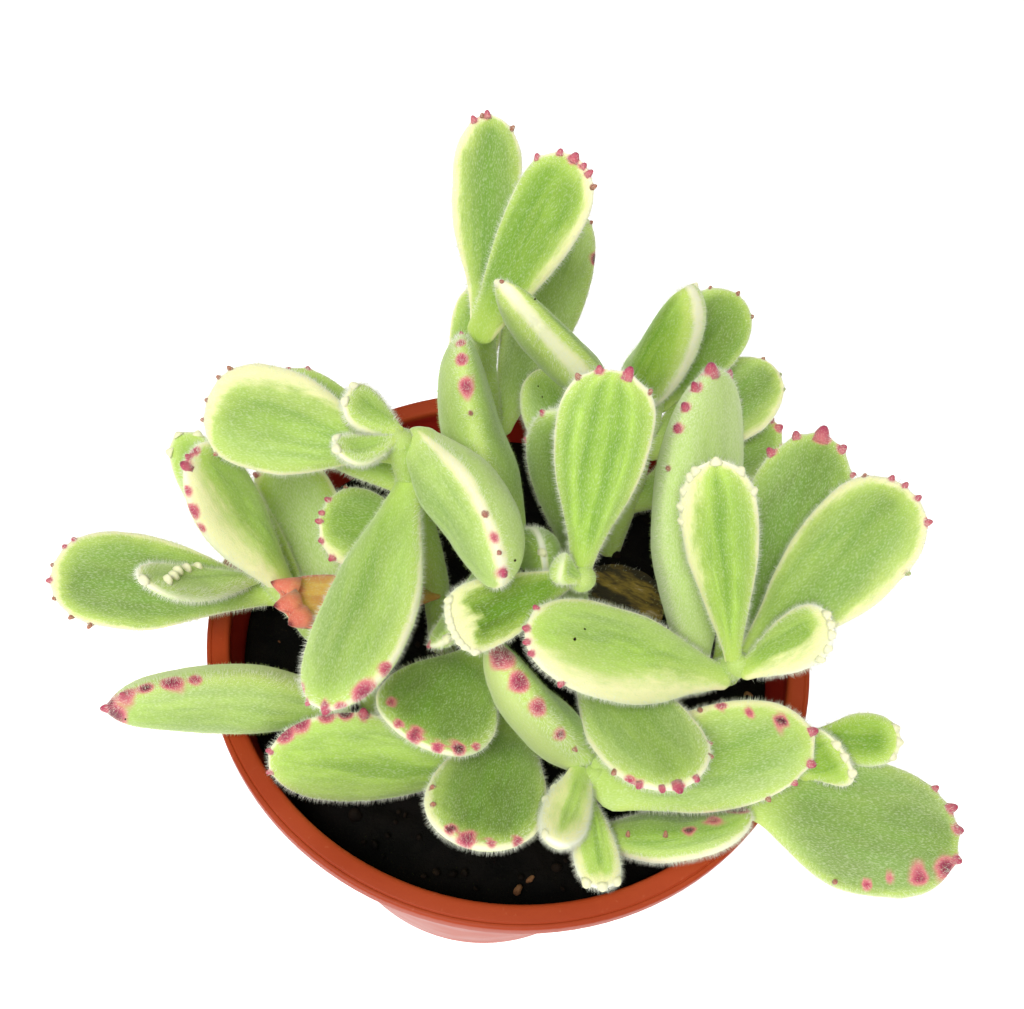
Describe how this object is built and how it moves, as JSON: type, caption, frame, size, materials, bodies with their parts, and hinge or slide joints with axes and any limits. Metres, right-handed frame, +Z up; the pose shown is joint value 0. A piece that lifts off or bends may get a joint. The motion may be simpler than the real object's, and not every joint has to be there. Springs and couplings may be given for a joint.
{
  "type": "potted succulent plant",
  "caption": "Bushy bear's paw succulent with thick hairy leaves, cream edges and short red teeth at the tips, in a round plastic nursery pot with soil.",
  "frame": {"origin": "centre of the pot's flat underside", "axes": "+Z up through the pot's opening, -Y towards the front of the picture, +X to the right of the picture"},
  "size_m": [0.1227, 0.0932, 0.1282],
  "materials": {
    "pot_plastic": "smooth moulded plastic with a soft sheen",
    "potting_soil": "matte dark crumbly potting soil with tan chips",
    "leaf_skin": "matte green with cream edges, red-brown teeth and short white hairs",
    "old_leaf_skin": "matte orange-red old leaf with red teeth",
    "dry_leaf_skin": "matte dry brown leaf",
    "stem_skin": "matte pale green with short white hairs"
  },
  "bodies": {
    "root": {"pot": "pot_plastic", "soil": "potting_soil", "back_stem": "stem_skin", "back_leaf_tall_left": "leaf_skin", "back_leaf_tall_right": "leaf_skin", "back_leaf_rear_right": "leaf_skin", "back_leaf_rear_left": "leaf_skin", "middle_stem": "stem_skin", "middle_leaf_rear": "leaf_skin", "middle_leaf_small_right": "leaf_skin", "middle_leaf_small_left": "leaf_skin", "rear_centre_stem": "stem_skin", "rear_centre_leaf_top_left": "leaf_skin", "rear_centre_leaf_middle_left": "leaf_skin", "rear_centre_leaf_front": "leaf_skin", "rear_centre_leaf_dry": "dry_leaf_skin", "back_right_stem": "stem_skin", "back_right_leaf_upright": "leaf_skin", "back_right_leaf_rear": "leaf_skin", "back_right_leaf_right": "leaf_skin", "back_right_leaf_low_right": "leaf_skin", "right_stem": "stem_skin", "right_leaf_tall_back": "leaf_skin", "right_leaf_young_front": "leaf_skin", "right_leaf_back": "leaf_skin", "right_leaf_outer": "leaf_skin", "right_leaf_inner": "leaf_skin", "right_leaf_small_outer": "leaf_skin", "centre_stem": "stem_skin", "centre_leaf_back": "leaf_skin", "centre_leaf_left": "leaf_skin", "centre_leaf_front_low": "leaf_skin", "left_centre_stem": "stem_skin", "left_centre_leaf_top_left": "leaf_skin", "left_centre_leaf_rear_left": "leaf_skin", "left_centre_leaf_top_right": "leaf_skin", "left_centre_leaf_front": "leaf_skin", "left_centre_leaf_low_left": "leaf_skin", "left_centre_leaf_old": "old_leaf_skin", "left_stem": "stem_skin", "left_leaf_outer": "leaf_skin", "left_leaf_upright": "leaf_skin", "left_leaf_behind": "leaf_skin", "left_leaf_small_top": "leaf_skin", "left_leaf_rear": "leaf_skin", "left_leaf_low_front": "leaf_skin", "front_left_stem": "stem_skin", "front_left_leaf_middle": "leaf_skin", "front_left_leaf_low_left": "leaf_skin", "front_left_leaf_front": "leaf_skin", "front_stem": "stem_skin", "front_leaf_rising_left": "leaf_skin", "front_leaf_right": "leaf_skin", "front_leaf_low_right": "leaf_skin", "front_right_stem": "stem_skin", "front_right_leaf_outer": "leaf_skin", "front_right_leaf_small_inner": "leaf_skin", "front_right_leaf_small_outer": "leaf_skin"}
  },
  "joints": []
}
